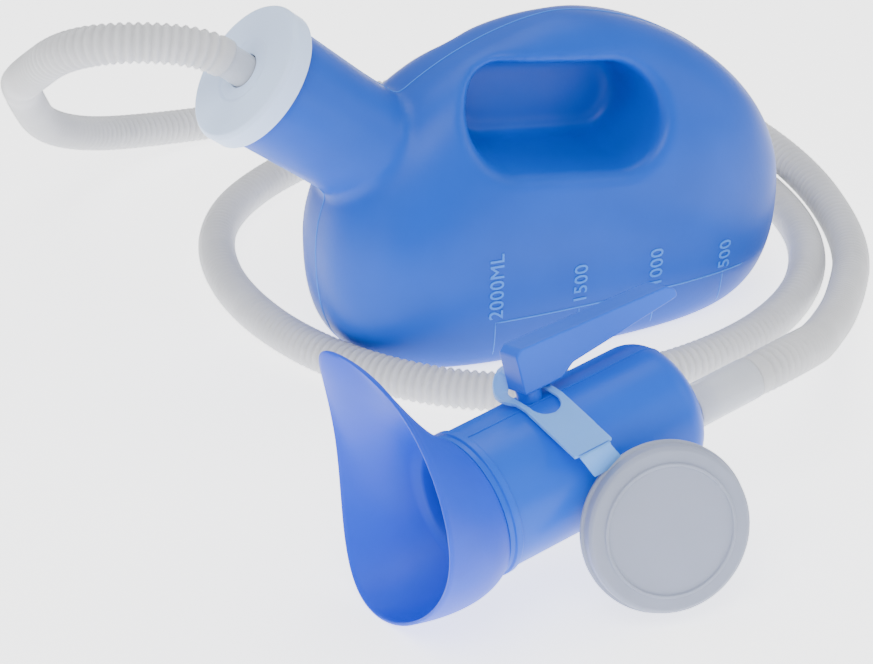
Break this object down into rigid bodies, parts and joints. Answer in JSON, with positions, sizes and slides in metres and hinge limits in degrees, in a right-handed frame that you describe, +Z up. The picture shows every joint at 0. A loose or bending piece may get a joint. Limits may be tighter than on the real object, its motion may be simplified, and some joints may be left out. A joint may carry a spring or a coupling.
{
  "type": "urine bottle",
  "caption": "Portable urinal: a graduated bottle with a grip recess and slanted neck, a screw cap with a drain hose, and a hand-held receiver with funnel, hook handle and strapped lid.",
  "frame": {"origin": "centre of the bottle's flat base, on the floor", "axes": "+Z up; +X towards the bottle's tail, away from its neck; -Y the front, where the receiver lies"},
  "size_m": [0.4612, 0.626, 0.1891],
  "materials": {
    "bottle_blue": "satin",
    "cap_white": "satin",
    "liner_foam": "matte",
    "hose_clear": "satin",
    "cuff_clear": "satin",
    "receiver_blue": "satin",
    "strap_clear": "satin",
    "lid_clear": "satin",
    "funnel_violet_blue": "satin"
  },
  "bodies": {
    "bottle": {"bottle_body": "bottle_blue", "hose": "hose_clear", "hose_cuff_bottle_end": "cuff_clear", "hose_cuff_receiver_end": "cuff_clear"},
    "liner": {"cap_liner": "liner_foam"},
    "cap": {"screw_cap": "cap_white"},
    "receiver": {"receiver_body": "receiver_blue", "receiver_handle": "receiver_blue", "lid_strap": "strap_clear"},
    "funnel": {"funnel": "funnel_violet_blue"},
    "lid": {"lid_cup": "lid_clear"}
  },
  "joints": [
    {"name": "liner_lift", "type": "slide", "parent": "bottle", "child": "liner", "axis": [-0.788, 0, 0.6157], "range_m": [0, 0.006]},
    {"name": "cap_turn", "type": "hinge", "parent": "liner", "child": "cap", "pos_m": [-0.1604, 0, 0.1613], "axis": [-0.788, 0, 0.6157], "range_deg": [0, 540]},
    {"name": "receiver_pull_off", "type": "slide", "parent": "bottle", "child": "receiver", "axis": [-0.9752, -0.172, -0.1392], "range_m": [0, 0.03]},
    {"name": "funnel_pull_off", "type": "slide", "parent": "receiver", "child": "funnel", "axis": [-0.9752, -0.172, -0.1392], "range_m": [0, 0.05]},
    {"name": "lid_swing", "type": "hinge", "parent": "receiver", "child": "lid", "pos_m": [-0.12761, -0.28385, 0.08069], "axis": [0.9752, 0.172, 0.1392], "range_deg": [-110, 0]}
  ],
  "couplings": [
    {"joint": "liner_lift", "follows": "cap_turn", "m_per_rad": 0.0006366}
  ]
}
